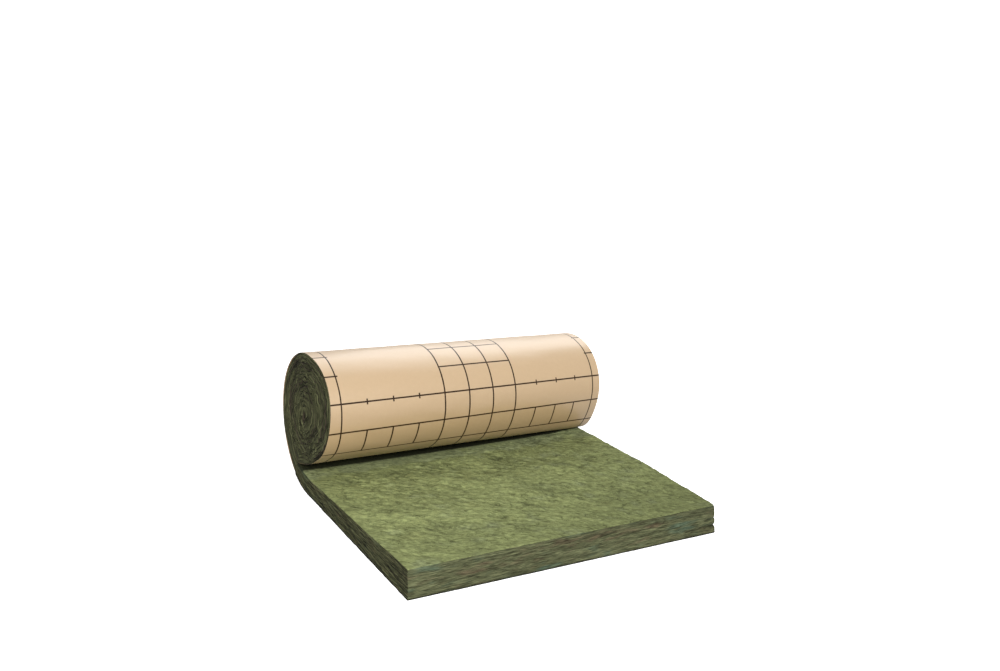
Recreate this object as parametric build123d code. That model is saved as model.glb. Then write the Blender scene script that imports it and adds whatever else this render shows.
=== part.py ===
from build123d import *
from math import acos, atan2, cos, degrees, hypot, radians, sin, tan
import os

# A partly unrolled blanket of mineral wool with kraft paper glued to its outer side.
# X runs along the roll's axis, +Y points behind the roll and +Z is up, in millimetres.
# The free flap lies on the floor towards -Y, wool side up. Behind the roll the blanket turns up,
# goes over the top with its paper outside, comes down the front and winds on into the roll.
# Sections are drawn in the YZ plane with y = 0 under the roll's axis and z = 0 on the floor.

# The blanket as it is sold and laid
blanket_width = 1200.0
blanket_thickness = 100.0
paper_thickness = 1.0

# The laid flap, measured from the roll's axis along the middle of the blanket to the free end,
# which was cut by hand, a little out of square, so that the right side is longer
flap_length = 830.0
end_cut_angle = 3.8
free_edge_radius = 8.0
# Thickness of the wool next to the roll, where its left edge has not yet sprung back
bed_thickness_left = 60.0
bed_thickness_right = 100.0

# The roll, whose weight squeezes its turns, so that they are thinner below the eye than above it
roll_radius = 197.0
turn_thickness_above = 17.0
turn_thickness_below = 13.0
outer_turn_rise = 19.0
bed_gap = 3.0
eye_radius = 12.0

# The nip, where the roll's underside closes on the flap, lies behind the axis and below the round form,
# so that the underside runs straight down to it, and the flap bends towards it from bed_end onwards
nip_reach = 48.0
nip_drop = 26.0
nip_slit = 3.0
bed_end = 70.0

# The spiral of paper edges that shows between the turns on both ends
edge_groove_width = 3.0
edge_groove_depth = 6.0

# Heights of the roll above the floor
roll_underside = max(bed_thickness_left, bed_thickness_right) + bed_gap
roll_top = roll_underside + 2 * roll_radius
front_centre_z = roll_underside + roll_radius
nip = (nip_reach, roll_underside - nip_drop)

# Half turns from the nip to the eye, each half a turn's thickness smaller than the one outside it
mean_turn_thickness = (turn_thickness_above + turn_thickness_below) / 2
half_turns = int(2 * (roll_radius - eye_radius) / mean_turn_thickness) - 2

# The outermost turn swells behind the roll, then sweeps down to the floor in one wide arc
back_radius = roll_radius + outer_turn_rise
sweep_radius = roll_top - back_radius
sweep_y = back_radius - sweep_radius

# Sections run out to the longest point of the free end, before the cut takes the rest off
longest_flap = flap_length + blanket_width / 2 * tan(radians(abs(end_cut_angle)))

# The model's origin is on the floor, under the middle of its box
middle_y = (back_radius - longest_flap) / 2
model_place = Location((-blanket_width / 2, -middle_y, 0))


def away_from(point, distance, angle):
    """The point at this distance and angle from another point of the section."""
    return (point[0] + distance * cos(radians(angle)), point[1] + distance * sin(radians(angle)))


def touch_angle(centre_z, radius, side):
    """Where a straight line from the nip touches a circle, in front of the nip (-1) or behind it (1)."""
    across, down = nip[0], nip[1] - centre_z
    return degrees(atan2(down, across)) + side * degrees(acos(radius / hypot(across, down)))


# Where the roll's front half leaves its round form for the straight run to the nip
underside_angle = touch_angle(front_centre_z, roll_radius, -1)


def outer_edges(inset):
    """The blanket's outer side from the free end to the nip, moved inwards by inset."""
    run_start = away_from((0, front_centre_z), roll_radius - inset, underside_angle)
    return [
        Line((-longest_flap, inset), (sweep_y, inset)),
        CenterArc((sweep_y, sweep_radius), sweep_radius - inset, -90, 90),
        CenterArc((0, roll_top - back_radius), back_radius - inset, 0, 90),
        CenterArc((0, front_centre_z), roll_radius - inset, 90, underside_angle + 360 - 90),
        Line(run_start, away_from(nip, -inset, underside_angle)),
    ]


def cut_free_end(piece):
    """Takes off what lies beyond the slanting cut across the free end."""
    angle = radians(end_cut_angle)
    middle = (blanket_width / 2, -flap_length, 0)
    knife = Plane(origin=middle, x_dir=(cos(angle), -sin(angle), 0), z_dir=(sin(angle), cos(angle), 0))
    return split(piece, bisect_by=knife, keep=Keep.TOP)


def wool_section(x, bed_thickness):
    """The wool's cross-section at x: the roll, the turn behind it and the laid flap."""
    roll_side = away_from(nip, -paper_thickness, underside_angle)
    flap_side = away_from(nip, nip_slit, underside_angle)
    bed_corner = (-bed_end, bed_thickness)
    free_top = (-longest_flap, blanket_thickness)
    free_bottom = (-longest_flap, paper_thickness)
    bed_slope = (longest_flap - bed_end, bed_thickness - blanket_thickness)
    edges = outer_edges(paper_thickness) + [
        Line(roll_side, flap_side),
        TangentArc([bed_corner, flap_side], tangent=bed_slope),
        Line(bed_corner, free_top),
        Line(free_top, free_bottom),
    ]
    return Plane.YZ.offset(x) * make_face(edges)


def paper_section():
    """The paper's cross-section: a thin band along the whole outer side."""
    edges = outer_edges(0) + outer_edges(paper_thickness) + [
        Line((-longest_flap, 0), (-longest_flap, paper_thickness)),
        Line(nip, away_from(nip, -paper_thickness, underside_angle)),
    ]
    return Plane.YZ * make_face(edges)


def half_turn(number):
    """The centre's height and the radius of a half turn, counted from the nip; even ones go up the back."""
    top = roll_top - turn_thickness_above * (number // 2 + 1)
    bottom = roll_underside + turn_thickness_below * ((number + 1) // 2)
    return (top + bottom) / 2, (top - bottom) / 2


def spiral_edges(offset):
    """The line between the turns, from the nip to the eye, moved outwards by offset."""
    centre_z, radius = half_turn(0)
    start = touch_angle(centre_z, radius, 1)
    rise_end = away_from((0, centre_z), radius + offset, start)
    edges = [
        Line(away_from(nip, offset, start), rise_end),
        CenterArc((0, centre_z), radius + offset, start, 90 - start),
    ]
    for number in range(1, half_turns):
        centre_z, radius = half_turn(number)
        edges.append(CenterArc((0, centre_z), radius + offset, 90 if number % 2 else -90, 180))
    return edges


def edge_groove(x):
    """A spiral groove that starts at x and runs edge_groove_depth along +X."""
    outer = spiral_edges(edge_groove_width / 2)
    inner = spiral_edges(-edge_groove_width / 2)
    caps = [Line(outer[0] @ 0, inner[0] @ 0), Line(outer[-1] @ 1, inner[-1] @ 1)]
    face = Plane.YZ.offset(x) * make_face(outer + inner + caps)
    return extrude(face, edge_groove_depth)


def wool_blanket():
    """The wool, lofted from its left section to its right one, with its eye and end spirals."""
    wool = loft([
        wool_section(0, bed_thickness_left),
        wool_section(blanket_width, bed_thickness_right),
    ], ruled=True)
    wool = cut_free_end(wool)
    free_face = wool.faces().sort_by(Axis.Y)[0]
    soft_edges = [edge for edge in free_face.edges() if edge.center().Z > blanket_thickness / 4]
    wool = fillet(soft_edges, free_edge_radius)
    eye_z, last_radius = half_turn(half_turns - 1)
    eye = extrude(Plane.YZ * Pos(0, eye_z) * Circle(eye_radius), blanket_width)
    return wool - eye - edge_groove(0) - edge_groove(blanket_width - edge_groove_depth)


def kraft_facing():
    """The paper under the flap, up behind the roll, over its top and down its front."""
    return cut_free_end(extrude(paper_section(), blanket_width))


os.makedirs("parts", exist_ok=True)
for name, piece in (("wool_blanket", wool_blanket()), ("kraft_facing", kraft_facing())):
    placed = model_place * piece
    export_step(placed, f"parts/{name}.step")
    print(name, "volume", round(placed.volume / 1e9, 5), "m3, size", placed.bounding_box().size)
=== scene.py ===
# %% [markdown]
# # A partly unrolled blanket of mineral wool
# The object is one blanket of mineral wool, 1.2 m wide and 100 mm thick, with kraft paper glued to its
# outer side. A free flap lies on the floor, wool side up. Behind the roll the blanket turns up, goes over
# the top with its paper outside, comes down the front and winds on into the roll, so both ends of the roll
# show a spiral of squeezed turns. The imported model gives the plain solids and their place. This script
# keeps that place and builds the looks: a fibrous wool mesh with real relief, a thin sheet of printed
# paper, their materials, a studio and a camera.

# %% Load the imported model
import math

import bmesh
import bpy
import numpy as np
from mathutils import Matrix, Vector


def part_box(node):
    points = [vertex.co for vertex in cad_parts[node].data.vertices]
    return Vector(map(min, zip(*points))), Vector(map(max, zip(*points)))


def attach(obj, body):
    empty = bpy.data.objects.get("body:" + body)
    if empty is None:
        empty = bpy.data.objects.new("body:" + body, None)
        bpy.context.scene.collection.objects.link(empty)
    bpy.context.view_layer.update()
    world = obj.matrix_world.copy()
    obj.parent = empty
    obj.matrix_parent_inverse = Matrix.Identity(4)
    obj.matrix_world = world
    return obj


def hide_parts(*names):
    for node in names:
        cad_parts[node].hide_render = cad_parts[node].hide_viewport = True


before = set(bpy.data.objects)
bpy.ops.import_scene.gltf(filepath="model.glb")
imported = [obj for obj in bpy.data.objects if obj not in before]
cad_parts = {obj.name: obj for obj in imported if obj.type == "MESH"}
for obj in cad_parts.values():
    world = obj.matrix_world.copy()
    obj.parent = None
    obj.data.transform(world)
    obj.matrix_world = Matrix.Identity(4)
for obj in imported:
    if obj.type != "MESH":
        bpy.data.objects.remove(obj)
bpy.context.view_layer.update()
paper_low, paper_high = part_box("kraft_facing")

# %% [markdown]
# ## Sizes
# Every number is a real size in metres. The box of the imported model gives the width, the height and the two
# ends of the blanket's path. The rest is what a maker would measure: the thickness of the blanket and of
# its turns, and where the roll's underside leaves its round form to run down into the nip, the line where
# it closes on the flap.

# %% Sizes of the blanket and the roll
half_width = paper_high.x
blanket_thickness = 0.100
paper_thickness = 0.001
left_bed_thickness = 0.060
right_bed_thickness = 0.100
end_cut_angle = math.radians(3.8)

outer_turn_rise = 0.019
bed_gap = 0.003
roll_top = paper_high.z
underside_z = max(left_bed_thickness, right_bed_thickness) + bed_gap
roll_radius = (roll_top - underside_z) / 2
roll_z = underside_z + roll_radius
axis_y = paper_high.y - roll_radius - outer_turn_rise

turn_above = 0.017
turn_below = 0.013
eye_radius = 0.012
nip_reach = 0.048
nip_drop = 0.026
bed_end = 0.070
nip = np.array([nip_reach, underside_z - nip_drop])


def from_left(x):
    """The share of the blanket's width that lies to the left of x."""
    return (x + half_width) / (2 * half_width)


print("roll radius", round(roll_radius, 4), "m, axis at y", round(axis_y, 4), "m")

# %% [markdown]
# ## The blanket's path, seen from the end
# A section across the roll is a line that winds inwards. It could be traced by hand, but a roll follows
# rules: wide arcs where the blanket turns up, and half turns that lose a little radius each time. So points
# are worked out by sending a ray from a hub inside the roll and asking where it meets the arc that holds
# there. In these helpers a point is (y, z), with y measured from the roll's axis.

# %% Rays from the hub to circles and lines
def half_turn(number):
    """The centre's height and the radius of a half turn, counted from the nip; even ones go up the back."""
    top = roll_top - turn_above * (number // 2 + 1)
    bottom = underside_z + turn_below * ((number + 1) // 2)
    return (top + bottom) / 2, (top - bottom) / 2


hub = np.array([0.0, half_turn(0)[0]])


def along(angle):
    return np.stack([np.cos(angle), np.sin(angle)], -1)


def meet_circle(start, angle, centre, radius):
    """Where a ray from start leaves a circle that it starts inside."""
    way = along(angle)
    offset = start - centre
    half_b = (way * offset).sum(-1)
    reach = -half_b + np.sqrt(half_b ** 2 - (offset ** 2).sum(-1) + radius ** 2)
    return start + reach[..., None] * way


def touch_angle(centre, radius, side):
    """Where a straight line from the nip touches a circle, in front of the nip (-1) or behind it (1)."""
    away = nip - centre
    return math.atan2(away[1], away[0]) + side * math.acos(radius / math.hypot(*away))


def meet_line(start, angle, centre, radius, touch):
    """Where a ray meets the straight line that touches a circle at this angle."""
    normal = along(np.array(touch))
    reach = ((centre - start) @ normal + radius) / (along(angle) @ normal)
    return start + reach[..., None] * along(angle)


print("hub at height", round(hub[1], 4), "m")

# %% The outside of the roll, and the line between its turns
front_centre = np.array([0.0, roll_z])
back_radius = roll_radius + outer_turn_rise
back_centre = np.array([0.0, roll_top - back_radius])
sweep_centre = np.array([back_radius - back_centre[1], back_centre[1]])
sweep_radius = back_centre[1]
underside_touch = touch_angle(front_centre, roll_radius, -1) + 2 * math.pi
rise_touch = touch_angle(hub, half_turn(0)[1], 1)
nip_angle = math.atan2(nip[1] - hub[1], nip[0] - hub[0])


def outside(angle, inset=0.0):
    """The outer side of the first turn, from the nip's direction up the back and round to the nip."""
    points = meet_circle(hub, angle, front_centre, roll_radius - inset)
    behind = meet_circle(hub, angle, back_centre, back_radius - inset)
    below = meet_circle(hub, angle, sweep_centre, sweep_radius - inset)
    under = meet_line(hub, angle, front_centre, roll_radius - inset, underside_touch)
    points = np.where((angle < math.pi / 2)[:, None], behind, points)
    points = np.where((angle < meets_sweep)[:, None], below, points)
    return np.where((angle > leaves_round)[:, None], under, points)


def between_turns(angle):
    """The line between one turn and the next, from the nip up the back and round and round to the eye."""
    numbers = np.floor(angle / math.pi + 0.5).astype(int)
    points = np.empty((len(angle), 2))
    for number in np.unique(numbers):
        here = numbers == number
        centre_z, radius = half_turn(max(number, 0))
        points[here] = np.array([0.0, centre_z]) + radius * along(angle[here])
    rise = angle < rise_touch
    points[rise] = meet_line(hub, angle[rise], hub, half_turn(0)[1], rise_touch)
    return points


def direction_of(point):
    """The angle at which the hub sees a point."""
    return math.atan2(point[1] - hub[1], point[0] - hub[0])


meets_sweep = direction_of(sweep_centre + [sweep_radius, 0])
leaves_round = direction_of(front_centre + roll_radius * along(np.array(underside_touch))) + 2 * math.pi
print("nip seen at", round(math.degrees(nip_angle), 1), "degrees")

# %% [markdown]
# ## Stations
# A mesh of a long strip is easiest to build from stations: places along the strip where both of its sides
# are known. The flap has stations from its free end to the nip. The turns have a fixed number of stations
# each, so the inner side of one turn and the outer side of the next fall on the same points, and the mesh
# can share them.

# %% Stations on the flap, from the free end to the nip
flap_stations = 176
bend_stations = 30
turn_stations = 150
columns = 270

middle_flap = -paper_low.y + axis_y - half_width * math.tan(end_cut_angle)


def free_end_y(x):
    """Where the slanting cut ends the blanket at x, measured from the roll's axis."""
    return -middle_flap - x * math.tan(end_cut_angle)


def bed_z(x):
    """The wool's height next to the roll: its left edge has not yet sprung back."""
    return left_bed_thickness + (right_bed_thickness - left_bed_thickness) * from_left(x)


def along_flap(x, station):
    """Where the flap, taken as straight, has a station in y, and the station's share of the bend."""
    straight = np.clip(station / flap_stations, 0, 1)
    bend = np.clip((station - flap_stations) / bend_stations, 0, 1)
    return free_end_y(x) * (1 - straight) - bed_end * straight, bend


def flap_top(x, station):
    """The wool's upper side at x and station, where stations run from the free end to the nip."""
    longest = -free_end_y(half_width)
    slope = (bed_z(x) - blanket_thickness) / (longest - bed_end)
    y, bend = along_flap(x, station)
    reach = (nip[0] + bed_end) * bend
    y = y + reach
    drop = nip[1] - bed_z(x) - slope * (nip[0] + bed_end)
    z = blanket_thickness + slope * (np.minimum(y, -bed_end) + longest) + slope * reach + drop * bend ** 2
    return y, z


nip_foot = outside(np.array([nip_angle]))[0] - sweep_centre
nip_foot_turn = math.atan2(nip_foot[1], nip_foot[0]) + math.pi / 2


def flap_under(x, station, inset):
    """The blanket's lower side at x and station: along the floor, then up the start of the sweep."""
    y, bend = along_flap(x, station)
    floor_run = bed_end + sweep_centre[0]
    length = (floor_run + nip_foot_turn * sweep_radius) * bend
    turned = np.maximum(length - floor_run, 0) / sweep_radius
    y = y + np.minimum(length, floor_run)
    radius = sweep_radius - inset
    return y + radius * np.sin(turned), inset + radius * (1 - np.cos(turned))


print("free end at y", [round(free_end_y(side * half_width), 3) for side in (-1, 1)], "m from the axis")

# %% Stations on the turns, from the nip to the eye
windings = (half_turn(0)[1] - eye_radius / 2) / ((turn_above + turn_below) / 2)
inner_stations = int(windings * turn_stations)
angles = nip_angle + 2 * math.pi * np.arange(inner_stations + 1) / turn_stations
path = np.concatenate([outside(angles[:turn_stations], paper_thickness), between_turns(angles)])
print(len(path), "stations on", round(windings + 1, 1), "turns")

# %% [markdown]
# ## Random fields for relief
# Wool has no regular pattern, but it has a grain: fibres and wrinkles that are longer one way than the
# other. Blender has noise functions for single points. A sum of sine waves with random directions does the
# same for a whole numpy array at once, its wavelengths set the grain along each axis, and a seed makes it
# come out alike on each run.

# %% A sum of random waves
def waves(points, lengths, seed, count=48):
    """A smooth random field of mean square 1, whose wavelengths along the axes are about these lengths."""
    random = np.random.default_rng(seed)
    turns_per_metre = random.normal(size=(count, len(lengths))) / np.array(lengths)
    start = random.uniform(0, 2 * math.pi, count)
    return math.sqrt(2 / count) * np.cos(2 * math.pi * points @ turns_per_metre.T + start).sum(1)


def smooth(value, low, high):
    """A soft step from 0 at low to 1 at high."""
    share = np.clip((value - low) / (high - low), 0, 1)
    return share * share * (3 - 2 * share)


print("waves at the hub", waves(np.zeros((1, 2)), (0.1, 0.1), 1).round(3))

# %% [markdown]
# ## A mesh from grids
# The wool is one closed skin: the top of the flap, its free end, both sides with the wound turns on them,
# and the hidden side under the paper. Bmesh could stitch separate grids together afterwards. It is cleaner
# to keep one list of points, let neighbouring grids name the same points on their common edge, and make the
# mesh once. Each point also keeps its place in the unrolled blanket (across, along, through), which relief
# and materials use as their grain.

# %% Collecting points and faces
def add_object(name, data):
    """Makes an object from its data and puts it in the scene."""
    made = bpy.data.objects.new(name, data)
    bpy.context.scene.collection.objects.link(made)
    return made


class Skin:
    """Points and faces of one piece. A point has a place, a place in the unrolled blanket, a depth beneath
    the felted top, and a recess, how far it is set in from the end of the roll."""

    def __init__(self):
        self.rows, self.faces, self.kinds, self.count = [], [], [], 0

    def add(self, place, blanket, depth=1.0, recess=0.0):
        """Keeps a grid of points and returns their numbers in a grid of the same shape."""
        shape = place.shape[:-1]
        depth, recess = (np.broadcast_to(value, shape)[..., None] for value in (depth, recess))
        rows = np.concatenate([place, blanket, depth, recess], -1).reshape(-1, 8)
        self.rows.append(rows)
        self.count += len(rows)
        return np.arange(self.count - len(rows), self.count).reshape(shape)

    def grid(self, numbers, kind):
        """Quads over a grid of point numbers."""
        corners = [numbers[:-1, :-1], numbers[1:, :-1], numbers[1:, 1:], numbers[:-1, 1:]]
        quads = np.stack(corners, -1).reshape(-1, 4).tolist()
        self.faces += quads
        self.kinds += [kind] * len(quads)

    def polygon(self, numbers, kind):
        self.faces.append([int(number) for number in numbers])
        self.kinds.append(kind)

    def columns(self):
        rows = np.concatenate(self.rows)
        return rows[:, :3], rows[:, 3:6], rows[:, 6], rows[:, 7]

    def build(self, name, points, fields, materials):
        """Makes the Blender object with its named fields as attributes, and turns its normals out."""
        mesh = bpy.data.meshes.new(name)
        mesh.from_pydata(points.tolist(), [], self.faces)
        for material in materials:
            mesh.materials.append(material)
        mesh.polygons.foreach_set("material_index", self.kinds)
        for field, values in fields.items():
            kind = "FLOAT_VECTOR" if values.ndim == 2 else "FLOAT"
            data = mesh.attributes.new(field, kind, "POINT").data
            data.foreach_set("vector" if values.ndim == 2 else "value", values.astype(np.float32).ravel())
        shaped = bmesh.new()
        shaped.from_mesh(mesh)
        loose = [point for point in shaped.verts if not point.link_faces]
        bmesh.ops.delete(shaped, geom=loose, context="VERTS")
        bmesh.ops.recalc_face_normals(shaped, faces=shaped.faces)
        open_edges = sum(len(edge.link_faces) != 2 for edge in shaped.edges)
        shaped.to_mesh(mesh)
        shaped.free()
        mesh.shade_smooth()
        triangles = sum(len(face) - 2 for face in self.faces)
        print(name, len(mesh.vertices), "points,", triangles, "triangles,", open_edges, "open edges")
        return add_object(name, mesh)


print("ready to collect grids")

# %% [markdown]
# ## How the roll has settled
# A roll of soft wool isn't a true cylinder. On this one the right end has slid a little to the left, the
# front of the left rim is drawn in, and the lower front is pressed in at the left end and bulges at the
# right end. A lattice around the roll could bend it so. One function that says where each point ends up is
# exact, and as the wool and the paper both go through it, they stay together.

# %% Where a point of the roll ends up
slide = 0.008
slide_heights = (0.13, 0.28)
drawn_in = 0.010
drawn_in_width = 0.02
drawn_in_heights = (0.18, 0.42)
press_left, press_right = -0.010, 0.014
press_angle, press_spread = 234, 20
press_heights = (0.07, 0.10)


def settled(x, y, z):
    """Where a point of the roll ends up, with y measured from the roll's axis."""
    by_left = drawn_in * np.exp(-(x + half_width) / drawn_in_width)
    by_left = by_left * smooth(-y, 0.0, 0.15) * smooth(z, *drawn_in_heights)
    distance = np.hypot(y, z - roll_z)
    angle = np.degrees(np.arctan2(z - roll_z, y)) % 360
    low_front = np.exp(-((angle - press_angle) / press_spread) ** 2)
    low_front = low_front * smooth(distance, 0.08, roll_radius) * smooth(z, *press_heights)
    out = (press_left + (press_right - press_left) * from_left(x)) * low_front / distance
    return x - slide * from_left(x) * smooth(z, *slide_heights) + by_left, y + out * y, z + out * (z - roll_z)


print("right end slides", slide, "m")

# %% [markdown]
# ## The wool
# A blanket like this is a felt of fine fibres in thin layers. Its top is wrinkled, and its cut sides show
# the layers. A displacement texture could raise such relief when it renders, but then the mesh itself would
# stay flat. Here the points themselves move: first everything is laid out smooth, then the random fields
# push it in and out.

# %% The two sides of the flap
layers = 24
TOP, CUT, END, WOUND = 0, 1, 2, 3

wool = Skin()
stations = np.arange(flap_stations + bend_stations + 1)
through = np.arange(layers + 1) / layers


def in_model(x, y, z):
    """Points of the section at y from the roll's axis, put at their place in the model."""
    return np.stack(np.broadcast_arrays(x, y + axis_y, z), -1)


def add_flap_points(x, station, share):
    """Adds points of the flap at x and station, from its lower side at share 0 to its top at share 1."""
    low_y, low_z = flap_under(x, station, paper_thickness)
    high_y, high_z = flap_top(x, station)
    y = low_y + (high_y - low_y) * share
    z = low_z + (high_z - low_z) * share
    thickness = np.hypot(high_y - low_y, high_z - low_z)
    blanket = np.stack(np.broadcast_arrays(x, high_y + 0 * y, thickness * share), -1)
    return wool.add(in_model(x, y, z), blanket, (high_z - low_z) * (1 - share))


left, right = (add_flap_points(side * half_width, stations[:, None], through[None, :]) for side in (-1, 1))
wool.grid(left, CUT)
wool.grid(right, CUT)
print("flap sides", left.shape)

# %% The top of the flap and its free end
inner = np.linspace(-half_width, half_width, columns + 1)[1:-1, None]
top = np.concatenate([left[None, :, -1], add_flap_points(inner, stations[None, :], 1.0), right[None, :, -1]])
face = np.concatenate([add_flap_points(inner, np.zeros(1), through[None, :-1]), top[1:-1, :1]], 1)
free_end = np.concatenate([left[:1], face, right[:1]])
wool.grid(top, TOP)
wool.grid(free_end, END)
print("top", top.shape, "free end", free_end.shape)

# %% [markdown]
# ## The wound ends
# On both ends of the roll the turns bulge a little, each between two thin grooves where the paper's dark edge
# is, and shade is also painted into the grooves.
# A spiral curve could carve them afterwards. Here the strip of each turn shares its groove points with the
# next one, which keeps the skin closed. The grooves wander, because squeezed wool is never even, and one
# slow field moves neighbouring turns together, so that they never cross.

# %% The turns on both ends
groove_depth = 0.006
rim_depth = 0.003
wander = 0.0035
bulge_fullness = 0.4
eye_centre = np.array([0.0, half_turn(2 * int(windings))[0]])
eye_shift = np.array([0.018, -0.008])
eye_squeeze = np.array([-0.55, 0.0])
eye_reach = 0.075
grown_to_eye = smooth(np.arange(len(path)), turn_stations, 3 * turn_stations)
rungs = np.array([0, 1, 5, 10, 14, 19, 23, 24])
path_lengths = np.concatenate([[0], np.cumsum(np.linalg.norm(np.diff(path, axis=0), axis=1))]) + nip[0]


def wound_path(side):
    """The section's path with its inner turns moved in and out a little, another way on each end."""
    count = np.arange(len(path))
    grown = smooth(count, turn_stations, 1.5 * turn_stations)
    grown = grown * (1 - smooth(count, len(path) - 3 * turn_stations, len(path)))
    away = path - eye_centre
    radius = np.linalg.norm(away, axis=1)[:, None]
    moved = path + wander * (grown * waves(path, (0.05, 0.05), 20 + side))[:, None] * away / radius
    squeezed = np.exp(-(radius / eye_reach) ** 2) * grown_to_eye[:, None]
    return moved + squeezed * (eye_shift + (moved - eye_centre) * eye_squeeze)


def add_wound_end(side, flap):
    """The strips of wool between the grooves, joined to the side of the flap that is given."""
    line = wound_path(side)
    x = side * half_width
    depth = np.where(np.arange(len(line)) < turn_stations, rim_depth, groove_depth)
    blanket = np.stack([np.full(len(line), x), path_lengths, np.zeros(len(line))], -1)
    groove = wool.add(in_model(x, line[:, 0], line[:, 1]), blanket, 1.0, depth)
    groove[0], groove[turn_stations] = flap[-1, 0], flap[-1, -1]
    share = rungs[1:-1] / layers
    outer, inner_side = line[:-turn_stations], line[turn_stations:]
    strip = outer[:, None] + (inner_side - outer)[:, None] * share[None, :, None]
    thickness = np.linalg.norm(inner_side - outer, axis=1)
    blanket = [x, path_lengths[:len(outer), None], thickness[:, None] * share[None, :]]
    bulge = groove_depth * (1 - np.sin(math.pi * share) ** bulge_fullness)
    bulge = bulge * smooth(np.arange(len(outer)), 0, turn_stations // 3)[:, None]
    blanket = np.stack(np.broadcast_arrays(*blanket), -1)
    body = wool.add(in_model(x, strip[..., 0], strip[..., 1]), blanket, 1.0, bulge)
    turn = np.concatenate([groove[:-turn_stations, None], body, groove[turn_stations:, None]], 1)
    wool.grid(turn[1:], WOUND)
    for cell, (start, end) in enumerate(zip(rungs[:-1], rungs[1:])):
        wool.polygon([*flap[-1, start:end + 1], turn[1, cell + 1], turn[1, cell]], CUT)
    eye = np.concatenate([groove[len(outer) - 1:], body[-1, ::-1]])
    return groove[1:turn_stations], eye


left_rim, left_eye = add_wound_end(-1, left)
right_rim, right_eye = add_wound_end(1, right)
print("groove path", len(path), "stations, eye", len(left_eye), "points round")

# %% The hidden side under the paper, and the hole along the axis
left_under = np.concatenate([left[1:, 0], left_rim])
right_under = np.concatenate([right[1:, 0], right_rim])
wool.grid(np.stack([left_under, right_under]), CUT)
wool.polygon([left_under[0], *free_end[:, 0], right_under[0]], CUT)
wool.polygon([left_under[-1], *top[:, -1], right_under[-1]], CUT)
wool.grid(np.stack([np.append(left_eye, left_eye[0]), np.append(right_eye, right_eye[0])]), CUT)
print("closed skin of", len(wool.faces), "faces")

# %% [markdown]
# ## Relief
# On the top, the wrinkles run slantwise, from the roll to the front right. They fade out under the roll,
# where its weight presses them flat. The left edge dips a little, and the right edge has sprung up. On the
# cut faces the layers stand out and sink in, with a few deep cracks at the free end where the blanket has
# split. All this could be sculpted by hand. Fields are easier to change, and each one reaches a little way
# round the edge, so edges come out soft and uneven.

# %% Where each point lies in the blanket
place, blanket, depth, recess = wool.columns()
x, s, w = blanket.T
y = place[:, 1] - axis_y
flap = depth < 1
across = from_left(x)
raised = np.clip(w / blanket_thickness, 0, 1)
beyond = np.where(flap, s - free_end_y(x), 1.0)
aside = half_width - abs(x)


def fade(distance, reach):
    """1 at an edge, fading away with the distance from it."""
    return np.exp(-distance / reach)


def near(distance, reach):
    """1 at an edge, falling to 0 at this reach from it."""
    return np.clip(1 - distance / reach, 0, 1) ** 2


def relief(points, parts):
    """A sum of random fields, each given by its height, its wavelengths along the axes and its seed."""
    return sum(height * waves(points, lengths, seed) for height, lengths, seed in parts)


print(flap.sum(), "points on the flap,", (~flap).sum(), "on the roll")

# %% The felted top, its wrinkles and its edges
slant = math.radians(38)
felt_waves = [(0.0016, (0.22, 0.15), 3), (0.0014, (0.080, 0.022), 1), (0.0009, (0.035, 0.013), 2)]
wrinkle_depth, wrinkle_width = 0.0042, 0.20
end_calm, left_calm, right_calm, calm_reach = 0.85, 0.95, 0.6, 0.03
felt_depth = 0.02
pressed_from, pressed_flat = -0.12, -0.05
left_dip, dip_y, dip_length, dip_reach = 0.003, -0.47, 0.22, 0.15
right_rise, rise_start, rise_end, rise_reach = 0.014, (-0.92, -0.45), (-0.09, -0.03), 0.12

grain = np.stack([x * math.cos(slant) - y * math.sin(slant), x * math.sin(slant) + y * math.cos(slant)], -1)
calm = 1 - end_calm * fade(beyond, calm_reach)
calm *= 1 - np.where(x > 0, right_calm, left_calm) * fade(aside, calm_reach)
calm *= fade(depth, felt_depth) * (1 - smooth(y, pressed_from, pressed_flat))
wrinkled = smooth(waves(grain, (0.25, 0.16), 11), -0.3, 1.2)
wrinkles = wrinkled * np.exp(-(waves(grain, (0.11, 0.030), 12) / wrinkle_width) ** 2)
lift = (relief(grain, felt_waves) - wrinkle_depth * wrinkles) * calm

dip = left_dip * np.exp(-((y - dip_y) / dip_length) ** 2) * fade(x + half_width, dip_reach)
rise = right_rise * smooth(y, *rise_start) * (1 - smooth(y, *rise_end)) * fade(half_width - x, rise_reach)
sag = (dip - rise) * w / blanket_thickness * flap
print("lift", lift.min().round(4), "to", lift.max().round(4), "m")

# %% Layers and cracks of the free end
layer_waves = [(0.0008, (0.20, 0.5, 0.040), 7), (0.0009, (0.06, 0.5, 0.010), 6)]
edge_reach = 0.012
edge_calm = 0.85
crack_taper, crack_wander = 0.05, 0.003
# Each crack has its start and end from the left edge, its height, its half width and its depth
cracks = [(0.48, 0.80, 0.078, 0.004, 0.004), (0.85, 1.00, 0.070, 0.004, 0.004),
          (1.03, 1.30, 0.027, 0.004, 0.006), (1.12, 1.30, 0.053, 0.003, 0.004)]
crack = np.zeros(len(x))
for start, end, height, reach, deep in cracks:
    run = smooth(x + half_width, start, start + crack_taper)
    run = run * (1 - smooth(x + half_width, end - crack_taper, end))
    line = height + crack_wander * waves(x[:, None], (0.08,), 8)
    crack += deep * run * np.exp(-((w - line) / reach) ** 2)
by_edge = fade(np.minimum(aside, depth), edge_reach)
split = relief(blanket, layer_waves) * (1 - edge_calm * by_edge) - crack
split *= fade(beyond, edge_reach) * (0.25 + 0.75 * smooth(w, 0.0, 0.025))
print("split", split.min().round(4), "to", split.max().round(4), "m")

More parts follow.
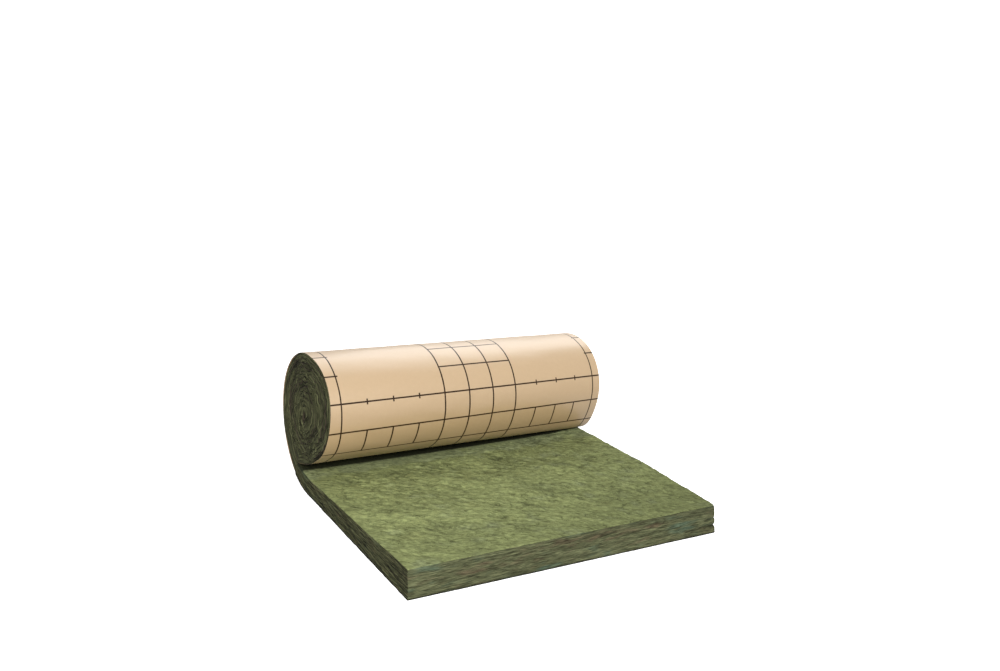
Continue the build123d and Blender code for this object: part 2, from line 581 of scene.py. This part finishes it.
# %% Layers of the sides and of the wound ends
side_waves = [(0.0009, (0.5, 0.15, 0.035), 5), (0.0011, (0.5, 0.05, 0.009), 4)]
sway_left, sway_right, sway_depth, roll_sway = 0.0008, 0.002, 0.04, 0.002
crack_on_side, crack_reach = 1.2, 0.04
flank = relief(blanket, side_waves) * (1 - edge_calm * flap * fade(np.minimum(beyond, depth), edge_reach))
sway = np.where(x > 0, sway_right, sway_left) * waves(s[:, None], (0.15,), 10)
flank += sway * flap * fade(depth, sway_depth)
flank *= fade(aside, edge_reach) * np.where(flap, 0.3 + 0.4 * smooth(w, 0.0, 0.02), 0.2)
flank -= crack_on_side * crack * fade(beyond, crack_reach) * fade(aside, edge_reach) * flap
flank += ~flap * roll_sway * smooth(s, nip[0], nip[0] + 0.2) * waves(s[:, None], (0.5,), 9)
print("flank", flank.min().round(4), "to", flank.max().round(4), "m")

# %% Soft edges, and the points moved
blunt, blunt_reach = 0.0025, 0.010
corner_left, corner_right, corner_reach = 0.001, 0.004, 0.018
foot_left, foot_right, foot_reach = 0.005, 0.015, 0.10
top_forward, top_to_left, lean_reach = 0.004, 0.005, 0.30
low_bulge, low_bulge_height = 0.0025, 0.04
top_side = blunt * near(depth, blunt_reach) * near(aside, blunt_reach)
top_end = blunt * near(depth, blunt_reach) * near(beyond, blunt_reach)
upright = np.where(x > 0, corner_right, corner_left) * near(aside, corner_reach) * near(beyond, corner_reach)

foot = foot_left + (foot_right - foot_left) * across
forward = (foot * (1 - raised) - top_forward * raised) * fade(beyond, foot_reach) * flap
lean = top_to_left * raised * fade(beyond, lean_reach) * flap
outward = flank - recess - top_side - upright + low_bulge * near(w, low_bulge_height) * flap * (x < 0)

base = np.where(flap[:, None], place, in_model(*settled(x, y, place[:, 2])))
x_moved = base[:, 0] + np.sign(x) * outward - lean
y_moved = base[:, 1] - split * flap - forward + top_end + upright
z_moved = base[:, 2] + lift - sag - (top_side + top_end) * (1 - near(w, 0.002))
points = np.stack([x_moved, y_moved, z_moved], -1)
print("points move up to", np.abs(points - place).max().round(4), "m")

# %% [markdown]
# ## Fields for the colours
# Shade is painted into the hollows between the layers and into the grooves of the wound ends, a painted
# shadow lies along the line under the roll, and painted shade along the foot of the cut faces. Some layers
# are brown or cool green, the felt near the roll is painted a cool shade, and painted light makes the felt
# paler at its left and darker at its right and towards the front. Noise in the materials could add such
# stains anywhere. Here three numbers are kept with each point, so painted shade lies where the mesh itself
# sinks in, and a stain lies where it lies on the real blanket.

# %% How much painted shade each point gets
dark_lift, dark_split, dark_flank = 0.005, 0.004, 0.005
groove_shade_gain = 1.7
skin_depth = 0.01
floor_shade_reach = 0.005
shadow_slant, shadow_edge = 0.100, (-0.006, 0.012)
# Painted shade: hollows in the relief are painted darker, and the grooves of the wound ends more so.
painted_shading = np.clip(-(lift / dark_lift + split / dark_split + (flank - recess) / dark_flank), -1, 1)
painted_shading = np.where(flap, painted_shading, groove_shade_gain * painted_shading)
on_top = fade(depth, skin_depth)
# A painted shadow along the line under the roll, and painted shade along the foot of the cut faces at the
# floor.
painted_roll_shadow = smooth(y + shadow_slant * across, *shadow_edge) * on_top
painted_floor_shade = (depth > 0) * np.exp(-(w / floor_shade_reach) ** 2)
painted_shading = np.maximum(painted_shading, 2 * flap * np.maximum(painted_roll_shadow, painted_floor_shade))
print("painted_shading", painted_shading.min().round(2), "to", painted_shading.max().round(2))

# %% How brown (above 0) or cool green (below 0) each point is, with a painted cool shade near the roll
# Each stain has its place along the free end, its height, its half length, its half height and its strength
stains = [(0.64, 0.080, 0.16, 0.010, 1.0), (0.92, 0.072, 0.09, 0.012, 1.0),
          (0.25, 0.055, 0.10, 0.020, 0.6), (0.06, 0.090, 0.08, 0.012, -1.0),
          (0.47, 0.010, 0.06, 0.014, -0.9), (1.05, 0.050, 0.10, 0.022, -0.9)]
stain_reach = 0.03
flap_mottle, roll_mottle = 0.30, 0.06
painted_cool_shade, painted_cool_slant, painted_cool_edge = 1.2, 0.13, (-0.085, -0.035)
tint = sum(strength * np.exp(-((x + half_width - along_x) / wide) ** 2 - ((w - height) / high) ** 2)
           for along_x, height, wide, high, strength in stains) * fade(beyond, stain_reach)
tint += np.where(flap, flap_mottle, roll_mottle) * waves(blanket, (0.12, 0.12, 0.025), 14)
# Painted shade: the felt in the shade near the roll is tinted pale and cool.
tint -= painted_cool_shade * flap * on_top * smooth(y + painted_cool_slant * across, *painted_cool_edge)
print("tint", tint.min().round(2), "to", tint.max().round(2))

# %% Painted light and shade: how pale each point is
top_left_painted_light, top_front_painted_shade = 0.14, 0.18
end_left_painted_light, end_painted_shade, side_painted_shade = 0.04, 0.03, 0.12
at_end = fade(beyond, 0.02)
leftness = 1 - 2 * across
# Painted light and shade, as the light falls: the top paler at its left and darker towards the front, the
# free end paler at its left, and the sides darker.
painted_light_change = on_top * (top_left_painted_light * leftness - top_front_painted_shade * smooth(-y, 0.45, 0.85))
painted_light_change += (1 - on_top) * (at_end * (end_left_painted_light * leftness - end_painted_shade) - side_painted_shade * (1 - at_end))
painted_light = 1 + flap * painted_light_change
print("painted_light", painted_light.min().round(2), "to", painted_light.max().round(2))

# %% [markdown]
# ## Materials of the wool
# Felted fibres scatter light without a gloss, so roughness is full and the colour does the work. The top,
# the cut sides, the free end and the wound ends each have a material, because a cut shows layers where the
# top shows felt. An image laid on them would show its seams. All four take their streaks from the blanket
# places of the points instead, so that the grain follows the layers round every turn. They share one node
# group, which gives four noises: fine fibres, streaks, broad blotches and thin creases. A slow noise bends
# the streaks first, more on the felt than on the cuts, so that they don't run like ruled lines.

# %% Small helpers for nodes
def link_in(tree, socket, value):
    """Gives a socket a constant, a colour or the output of another node."""
    if isinstance(value, bpy.types.NodeSocket):
        tree.links.new(value, socket)
    else:
        socket.default_value = value


def fill(tree, node, inputs):
    """Gives several named inputs of a node their values."""
    for name, value in inputs.items():
        link_in(tree, node.inputs[name], value)


def add_node(tree, kind, inputs=None, **settings):
    """Adds a node with its settings and inputs, and returns it."""
    node = tree.nodes.new(kind)
    for name, value in settings.items():
        setattr(node, name, value)
    fill(tree, node, inputs or {})
    return node


def field(tree, name, output="Fac"):
    """A named field of the points, as a number or as a Vector."""
    return add_node(tree, "ShaderNodeAttribute", attribute_name=name).outputs[output]


def sum_up(tree, operation, *values):
    """A math node, whose result is returned."""
    node = add_node(tree, "ShaderNodeMath", operation=operation)
    for socket, value in zip(node.inputs, values):
        link_in(tree, socket, value)
    return node.outputs[0]


def mix_colours(tree, share, first, second, blend="MIX"):
    """Blends two colours by a share, and returns the result."""
    node = add_node(tree, "ShaderNodeMix", data_type="RGBA", blend_type=blend)
    for socket, value in zip((node.inputs[0], node.inputs[6], node.inputs[7]), (share, first, second)):
        link_in(tree, socket, value)
    return node.outputs[2]


def spread(tree, value, low, high, start=0.0, end=1.0):
    """Maps a value from low..high to start..end, softly."""
    inputs = {"Value": value, "From Min": low, "From Max": high, "To Min": start, "To Max": end}
    return add_node(tree, "ShaderNodeMapRange", inputs, interpolation_type="SMOOTHSTEP").outputs[0]


def new_material(name):
    """A new material, with its node tree and its shader."""
    material = bpy.data.materials.new(name)
    material.use_nodes = True
    tree = material.node_tree
    return material, tree, tree.nodes["Principled BSDF"]


def rgba(red, green, blue):
    return (red, green, blue, 1.0)


print("node helpers ready")

# %% Streaks that all wool materials use
streaks = bpy.data.node_groups.new("wool_streaks", "ShaderNodeTree")
streaks.interface.new_socket("Place", in_out="INPUT", socket_type="NodeSocketVector")
streaks.interface.new_socket("Bend", in_out="INPUT", socket_type="NodeSocketFloat")
noise_names = ("Fibres", "Streaks", "Blotches", "Creases")
for name in noise_names:
    streaks.interface.new_socket(name, in_out="OUTPUT", socket_type="NodeSocketFloat")
given = streaks.nodes.new("NodeGroupInput").outputs
slow = add_node(streaks, "ShaderNodeTexNoise", {"Vector": given["Place"], "Scale": 0.2, "Detail": 1.0})
bend_by = add_node(streaks, "ShaderNodeCombineXYZ", {"Y": given["Bend"], "Z": given["Bend"]})
inputs = {0: slow.outputs["Color"], 1: bend_by.outputs[0], 2: given["Place"]}
bent = add_node(streaks, "ShaderNodeVectorMath", inputs, operation="MULTIPLY_ADD").outputs[0]
result = streaks.nodes.new("NodeGroupOutput")
for name, scale, detail, distortion in (("Fibres", 3.0, 3.0, 0.3), ("Streaks", 1.0, 4.0, 0.3),
                                        ("Blotches", 0.22, 2.0, 0.3), ("Creases", 0.50, 3.0, 1.5)):
    inputs = {"Vector": bent, "Scale": scale, "Detail": detail, "Roughness": 0.6, "Distortion": distortion}
    noise = add_node(streaks, "ShaderNodeTexNoise", inputs).outputs[0]
    if name == "Creases":
        noise = sum_up(streaks, "ABSOLUTE", sum_up(streaks, "SUBTRACT", noise, 0.5))
        noise = spread(streaks, noise, 0.0, 0.032, 1.0, 0.0)
    link_in(streaks, result.inputs[name], noise)
print("node group", streaks.name)

# %% The felted top and the cut faces
def wool_material(name, colours, turn, scale, bend, even, contrast, crease_depth_and_shade, bump_depth):
    """Wool with its grain turned, stretched and bent. Its colours are dark, middle, light, warm and cool,
    even is the share of the middle one, contrast tells how strong the fibres are, and crease_depth_and_shade
    how deep the creases are pressed in and how dark they are painted, as shade."""
    material, tree, shader = new_material(name)
    dark, middle, light, warm, cool = colours
    place = field(tree, "blanket", "Vector")
    turned = add_node(tree, "ShaderNodeMapping", {"Vector": place, "Rotation": (0, 0, turn)}).outputs[0]
    scaled = add_node(tree, "ShaderNodeMapping", {"Vector": turned, "Scale": scale}).outputs[0]
    noise = add_node(tree, "ShaderNodeGroup", {"Place": scaled, "Bend": bend}, node_tree=streaks)
    fibres, streak, blotch, crease = (noise.outputs[name] for name in noise_names)
    colour = mix_colours(tree, spread(tree, streak, 0.34, 0.66), dark, light)
    colour = mix_colours(tree, even, colour, middle)
    tint = field(tree, "tint")
    colour = mix_colours(tree, spread(tree, tint, 0.1, 1.2, 0.0, 0.7), colour, warm)
    colour = mix_colours(tree, spread(tree, tint, -0.1, -1.2, 0.0, 0.7), colour, cool)
    colour = mix_colours(tree, spread(tree, blotch, 0.48, 0.75, 0.0, 0.4), colour, middle)
    # Creases are pressed in by the bump and also painted darker, as shade, and the painted shading of the
    # points darkens the colour too.
    creases = sum_up(tree, "MULTIPLY", crease, spread(tree, streak, 0.40, 0.60, crease_depth_and_shade, 0.0))
    shade = spread(tree, field(tree, "painted_shading"), 0.0, 2.0, 1.0, 0.12)
    for part in (spread(tree, fibres, 0.33, 0.67, 1 - contrast, 1 + contrast),
                 spread(tree, blotch, 0.35, 0.65, 0.92, 1.08), field(tree, "painted_light"),
                 sum_up(tree, "SUBTRACT", 1.0, creases)):
        shade = sum_up(tree, "MULTIPLY", shade, part)
    shade = add_node(tree, "ShaderNodeCombineColor", {"Red": shade, "Green": shade, "Blue": shade}).outputs[0]
    colour = mix_colours(tree, 1.0, colour, shade, "MULTIPLY")
    height = sum_up(tree, "SUBTRACT", sum_up(tree, "ADD", fibres, streak), creases)
    bump = add_node(tree, "ShaderNodeBump", {"Height": height, "Distance": bump_depth, "Strength": 0.6})
    fill(tree, shader, {"Base Color": colour, "Roughness": 1.0, "Specular IOR Level": 0.15,
                        "Normal": bump.outputs[0]})
    return material


top_colours = (rgba(0.124, 0.143, 0.056), rgba(0.230, 0.259, 0.106), rgba(0.336, 0.376, 0.160),
               rgba(0.236, 0.257, 0.102), rgba(0.232, 0.262, 0.136))
cut_colours = (rgba(0.024, 0.025, 0.011), rgba(0.077, 0.079, 0.038), rgba(0.150, 0.156, 0.077),
               rgba(0.108, 0.084, 0.046), rgba(0.076, 0.104, 0.058))
end_colours = (rgba(0.028, 0.030, 0.014), rgba(0.093, 0.099, 0.049), rgba(0.186, 0.198, 0.102),
               rgba(0.134, 0.101, 0.060), rgba(0.088, 0.130, 0.086))
felt = wool_material("wool_felt_top", top_colours, turn=slant, scale=(17, 50, 50), bend=4.0,
                     even=0.80, contrast=0.28, crease_depth_and_shade=0.46, bump_depth=0.0018)
cut_wool = wool_material("wool_cut_sides", cut_colours, turn=0.0, scale=(7, 7, 160), bend=0.5,
                         even=0.60, contrast=0.90, crease_depth_and_shade=0.3, bump_depth=0.0010)
end_wool = wool_material("wool_free_end", end_colours, turn=0.0, scale=(10, 12, 180), bend=1.2,
                         even=0.62, contrast=0.56, crease_depth_and_shade=0.25, bump_depth=0.0010)
wound_wool = wool_material("wool_wound_ends", cut_colours, turn=0.0, scale=(5, 5, 150), bend=0.3,
                           even=0.52, contrast=0.90, crease_depth_and_shade=0.3, bump_depth=0.0006)

# %% The wool as one piece
fields = {"blanket": blanket, "painted_shading": painted_shading, "tint": tint, "painted_light": painted_light}
wool_batt = wool.build("wool_batt", points, fields, [felt, cut_wool, end_wool, wound_wool])
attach(wool_batt, "root")
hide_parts("wool_blanket")

# %% [markdown]
# ## The kraft paper
# One sheet of paper is glued to the blanket's outer side. It lies under the flap, goes up behind the roll
# and over its top, and follows the front down to the nip. From there only its edge shows, as a thin line in
# every groove. A sheet could be a plane with a solidify modifier. Here its two sides come from the same
# rule as the wool's outer side, at two insets, so paper and wool fit without a gap.

# %% Stations along the paper, from the floor to the nip
def arc(centre, radius, start, end, count):
    """Points on an arc and the directions that point out of it, without the last one."""
    way = along(np.linspace(start, end, count, endpoint=False))
    return centre + radius * way, way


floor_count, arc_count, run_count = 60, 70, 8
sweep_points, sweep_way = arc(sweep_centre, sweep_radius, -math.pi / 2, 0.0, arc_count)
back_points, back_way = arc(back_centre, back_radius, 0.0, math.pi / 2, arc_count)
front_points, front_way = arc(front_centre, roll_radius, math.pi / 2, underside_touch, 2 * arc_count)
run_way = along(np.array([underside_touch]))
run_start = front_centre + roll_radius * run_way[0]
run_points = run_start + (nip - run_start) * np.linspace(0, 1, run_count)[:, None]
outer_line = np.concatenate([sweep_points, back_points, front_points, run_points])
outer_way = np.concatenate([sweep_way, back_way, front_way, np.repeat(run_way, run_count, 0)])
steps = np.linalg.norm(np.diff(outer_line, axis=0), axis=1)
passed = np.concatenate([[0], np.cumsum(steps)])
at_front = 2 * arc_count + arc_count * math.pi / (underside_touch - math.pi / 2)
front_start = np.interp(at_front, np.arange(len(passed)), passed)
print("paper from the floor to the nip", round(passed[-1], 3), "m")

# %% The sheet
paper_columns = 96
unevenness = 0.0003
set_back = 0.004
sheet = Skin()
sheet_x = np.linspace(-half_width, half_width, paper_columns + 1)[:, None]
to_sweep = np.linspace(0, 1, floor_count, endpoint=False)[None, :]
paper_end = free_end_y(sheet_x) + set_back - foot_left - (foot_right - foot_left) * from_left(sheet_x)
floor_y = paper_end * (1 - to_sweep) + sweep_centre[0] * to_sweep
passed_rows = np.repeat(passed[None, :], paper_columns + 1, 0)
rise_lengths = np.concatenate([floor_y - sweep_centre[0], passed_rows], 1)


def paper_side(inset):
    """One side of the sheet, slightly uneven outwards between the floor and the nip."""
    floor = in_model(sheet_x, floor_y, np.full_like(floor_y, inset))
    flat = np.stack(np.broadcast_arrays(sheet_x, passed[None, :]), -1).reshape(-1, 2)
    swell = waves(flat, (0.30, 0.12), 31).reshape(paper_columns + 1, -1)
    uneven = unevenness * (3 + swell) * smooth(passed, 0.1, 0.5)
    uneven *= 1 - smooth(passed, passed[-1] - 0.10, passed[-1])
    line = outer_line[None] + (uneven[..., None] - inset) * outer_way[None]
    place = np.concatenate([floor, in_model(*settled(sheet_x, line[..., 0], line[..., 1]))], 1)
    sheet_place = np.stack(np.broadcast_arrays(sheet_x + half_width, front_start - rise_lengths, inset), -1)
    return sheet.add(place, sheet_place)


shown, glued = paper_side(0.0), paper_side(paper_thickness)
FACE, EDGE = 0, 1
sheet.grid(shown, FACE)
sheet.grid(glued, FACE)
for edge in (0, -1):
    sheet.grid(np.stack([shown[edge], glued[edge]]), EDGE)
for edge in (0, -1):
    sheet.grid(np.stack([shown[:, edge], glued[:, edge]]), EDGE)
print("sheet", shown.shape)

# %% The paper's edge in the grooves of both ends
edge_recess = 0.0025
edge_depth = 0.0075
edge_half = 0.0005
for side in (-1, 1):
    line = wound_path(side)[turn_stations:]
    away = line - line[-1]
    away[-1] = away[-2]
    away /= np.linalg.norm(away, axis=1)[:, None]
    end_x = side * half_width
    flat_place = np.stack(np.broadcast_arrays(end_x + half_width, path_lengths[turn_stations:], 0), -1)
    rows = []
    for offset, inset in ((edge_half, edge_recess), (-edge_half, edge_recess),
                          (-edge_half, edge_depth), (edge_half, edge_depth)):
        ring = line + offset * away
        place = in_model(*settled(end_x, ring[:, 0], ring[:, 1])) - np.array([side * inset, 0, 0])
        rows.append(sheet.add(place, flat_place))
    rows = np.stack(rows + rows[:1], 1)
    sheet.grid(rows, EDGE)
    sheet.polygon(rows[0, :4], EDGE)
    sheet.polygon(rows[-1, :4], EDGE)
print("paper edges in", sheet.count, "points")

# %% [markdown]
# ## The printed cutting grid
# The paper carries a grid for cutting to size, with lines about every 100 mm. Of the lines along the roll,
# three in five run right across, and the other two only show at both edges and in the middle, so the
# pattern repeats every 500 mm. The outer and middle lines round the roll are whole, and the others are
# short. They lie 93 to 106 mm apart, so the place across the paper is first stretched a little by a cubic
# formula. A drawn image would have to be painted and kept as a file. A few maths nodes on the sheet's own
# places, in metres, draw the same lines at any distance, and each condition reads like a rule of the grid.

# %% The grid as a mask
grid = bpy.data.node_groups.new("cutting_grid", "ShaderNodeTree")
grid.interface.new_socket("Place", in_out="INPUT", socket_type="NodeSocketVector")
grid.interface.new_socket("Mask", in_out="OUTPUT", socket_type="NodeSocketFloat")
given = grid.nodes.new("NodeGroupInput").outputs["Place"]
axes = add_node(grid, "ShaderNodeSeparateXYZ", {"Vector": given}).outputs
line_half, line_blur = 0.0028, 0.0005
first_row, row_pitch, repeat = -0.124, 0.1, 0.5
ring_pitch = 0.1
stretch = (-0.0490, 1.0586, -0.2156, 0.1337)
left_margin, right_margin = 0.009, 1.092
last_ring = 1.1
middle_rings = (0.4, 0.7)
ring_end, row_end, tick_half = 0.003, 0.002, 0.010


def on_line(value, pitch):
    """1 where the value lies on a line, with lines at 0 and at each multiple of the pitch."""
    beside = sum_up(grid, "PINGPONG", value, pitch / 2)
    return spread(grid, beside, line_half + line_blur, line_half - line_blur)


def below(value, limit):
    return sum_up(grid, "LESS_THAN", value, limit)


def above(value, limit):
    return sum_up(grid, "GREATER_THAN", value, limit)


def between(value, low, high):
    return sum_up(grid, "MULTIPLY", above(value, low), below(value, high))


def any_of(*masks):
    """1 where any of the masks is 1."""
    total = masks[0]
    for mask in masks[1:]:
        total = sum_up(grid, "MAXIMUM", total, mask)
    return total


print("helpers for the grid")

# %% Lines along the roll and lines round it
v = axes["Y"]
u = stretch[-1]
for number in stretch[-2::-1]:
    u = sum_up(grid, "MULTIPLY_ADD", u, axes["X"], number)
half_pitch = row_pitch / 2
from_first = sum_up(grid, "SUBTRACT", v, first_row - half_pitch)
row = sum_up(grid, "SUBTRACT", sum_up(grid, "WRAP", from_first, repeat, 0.0), half_pitch)
long_line = on_line(row, row_pitch)
round_line = on_line(u, ring_pitch)

half_ring = ring_pitch / 2
low_ring, high_ring = middle_rings
full_row = below(row, 2.5 * row_pitch)
margin = any_of(below(u, left_margin), above(u, right_margin),
                between(u, low_ring - ring_end, high_ring + ring_end))
full_ring = any_of(below(u, half_ring), above(u, last_ring - half_ring),
                   between(u, low_ring - half_ring, high_ring + half_ring))
short_ring = any_of(between(row, -row_end, row_pitch + row_end),
                    between(row, 2 * row_pitch - tick_half, 2 * row_pitch + tick_half))

long_mask = sum_up(grid, "MULTIPLY", long_line, any_of(full_row, margin))
round_mask = sum_up(grid, "MULTIPLY", round_line, any_of(full_ring, short_ring))
outer_side = below(axes["Z"], paper_thickness / 2)
mask = sum_up(grid, "MULTIPLY", any_of(long_mask, round_mask), outer_side)
link_in(grid, grid.nodes.new("NodeGroupOutput").inputs["Mask"], mask)
print("grid of", len(grid.nodes), "nodes")

# %% Paper materials
kraft, tree, shader = new_material("kraft_printed")
sheet_place = field(tree, "sheet", "Vector")
print_mask = add_node(tree, "ShaderNodeGroup", {"Place": sheet_place}, node_tree=grid).outputs[0]
inputs = {"Vector": sheet_place, "Scale": 60.0, "Detail": 6.0, "Roughness": 0.7}
pulp = add_node(tree, "ShaderNodeTexNoise", inputs).outputs[0]
tan = mix_colours(tree, pulp, rgba(0.474, 0.320, 0.168), rgba(0.534, 0.370, 0.203))
ink = rgba(0.025, 0.011, 0.004)
bump = add_node(tree, "ShaderNodeBump", {"Height": pulp, "Distance": 0.0002, "Strength": 0.3})
fill(tree, shader, {"Base Color": mix_colours(tree, print_mask, tan, ink), "Roughness": 0.40, "IOR": 1.63,
                    "Specular IOR Level": spread(tree, print_mask, 0.0, 1.0, 1.0, 0.15),
                    "Normal": bump.outputs[0]})

paper_edge, tree, shader = new_material("kraft_cut_edge")
fill(tree, shader, {"Base Color": rgba(0.075, 0.058, 0.036), "Roughness": 0.9})

# %% The paper as one piece
sheet_points, flat_place, _, _ = sheet.columns()
kraft_sheet = sheet.build("kraft_sheet", sheet_points, {"sheet": flat_place}, [kraft, paper_edge])
kraft_sheet.data.set_sharp_from_angle(angle=math.radians(40))
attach(kraft_sheet, "root")
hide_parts("kraft_facing")

# %% [markdown]
# ## Studio
# The photo is a product picture on pure white. A white floor throws light back up, and a soft glow that
# only the camera sees keeps it white. An even light from all sides would leave the wool flat, so one wide
# box at the front left, some 36 degrees up, does most of the work: the top of the wool and the front of the
# paper face it, and the left end, turned away from it, comes out dark. A second wide box stands behind and
# above. The paper mirrors it as the pale band along the top of the roll. A weak third box overhead and a
# dim world lift the shadows a little.

# %% Floor and world
floor_reach = 30
floor_drop = 0.001
ambient = 0.155
corners = [(-floor_reach, -floor_reach, 0), (floor_reach, -floor_reach, 0),
           (floor_reach, floor_reach, 0), (-floor_reach, floor_reach, 0)]
floor_mesh = bpy.data.meshes.new("floor")
floor_mesh.from_pydata(corners, [], [(0, 1, 2, 3)])
floor = add_object("floor", floor_mesh)
floor.location.z = -floor_drop
white, tree, shader = new_material("studio_white")
seen = add_node(tree, "ShaderNodeLightPath").outputs["Is Camera Ray"]
fill(tree, shader, {"Base Color": rgba(0.7, 0.7, 0.7), "Roughness": 1.0, "Specular IOR Level": 0.0,
                    "Emission Color": rgba(1, 1, 1), "Emission Strength": seen})
floor_mesh.materials.append(white)

world = bpy.data.worlds.new("studio")
bpy.context.scene.world = world
world.use_nodes = True
tree = world.node_tree
rays = add_node(tree, "ShaderNodeLightPath").outputs
strength = spread(tree, rays["Is Glossy Ray"], 0.0, 1.0, ambient, 1.0)
strength = sum_up(tree, "ADD", rays["Is Camera Ray"], strength)
fill(tree, tree.nodes["Background"], {"Strength": strength, "Color": rgba(1, 1, 1)})
print("white floor and world")

# %% Light boxes
def light_box(name, place, target, width, height, power):
    """A rectangular soft light that points from its place at a target."""
    light = bpy.data.lights.new(name, "AREA")
    light.shape = "RECTANGLE"
    light.size, light.size_y, light.energy = width, height, power
    box = add_object(name, light)
    box.location = place
    box.rotation_euler = (Vector(target) - Vector(place)).to_track_quat("-Z", "Y").to_euler()


blanket_middle, roll_back = (0, 0, 0.1), (0, 0.3, 0.45)
light_box("front", (-2.2, -5.6, 4.2), blanket_middle, width=3.8, height=2.2, power=520)
light_box("overhead", (-1.6, -0.8, 4.6), blanket_middle, width=3.0, height=2.8, power=12)
light_box("behind", (1.8, 2.1, 3.0), roll_back, width=3.2, height=3.0, power=80)

# %% [markdown]
# ## Camera
# A camera set by eye would never put each edge where the picture has it, so its place was worked out: the
# crossings of the printed grid are about 100 mm apart, and they fix the focal length, the direction and the
# distance. The camera is also tilted by six degrees about its own axis.

# %% Camera, with its focal length in pixels
camera_data = bpy.data.cameras.new("camera")
camera = add_object("camera", camera_data)
bpy.context.scene.camera = camera
picture_width, focal_length = 1000, 827.0
camera_data.sensor_width = 36.0
camera_data.lens = focal_length * camera_data.sensor_width / picture_width
camera_place = (-1.6806, -2.2551, 1.3224)

azimuth, height_angle, tilt = (math.radians(angle) for angle in (-36.11, 14.13, 6.0))
back = Vector((math.sin(azimuth) * math.cos(height_angle), -math.cos(azimuth) * math.cos(height_angle),
               math.sin(height_angle)))
level = (-back).cross(Vector((0, 0, 1))).normalized()
upright_way = level.cross(-back)
to_right = level * math.cos(tilt) + upright_way * math.sin(tilt)
to_top = upright_way * math.cos(tilt) - level * math.sin(tilt)
facing = Matrix((to_right, to_top, back)).transposed().to_4x4()
camera.matrix_world = Matrix.Translation(camera_place) @ facing
bpy.context.scene.view_settings.view_transform = "Standard"
print("lens", round(camera_data.lens, 2), "mm")
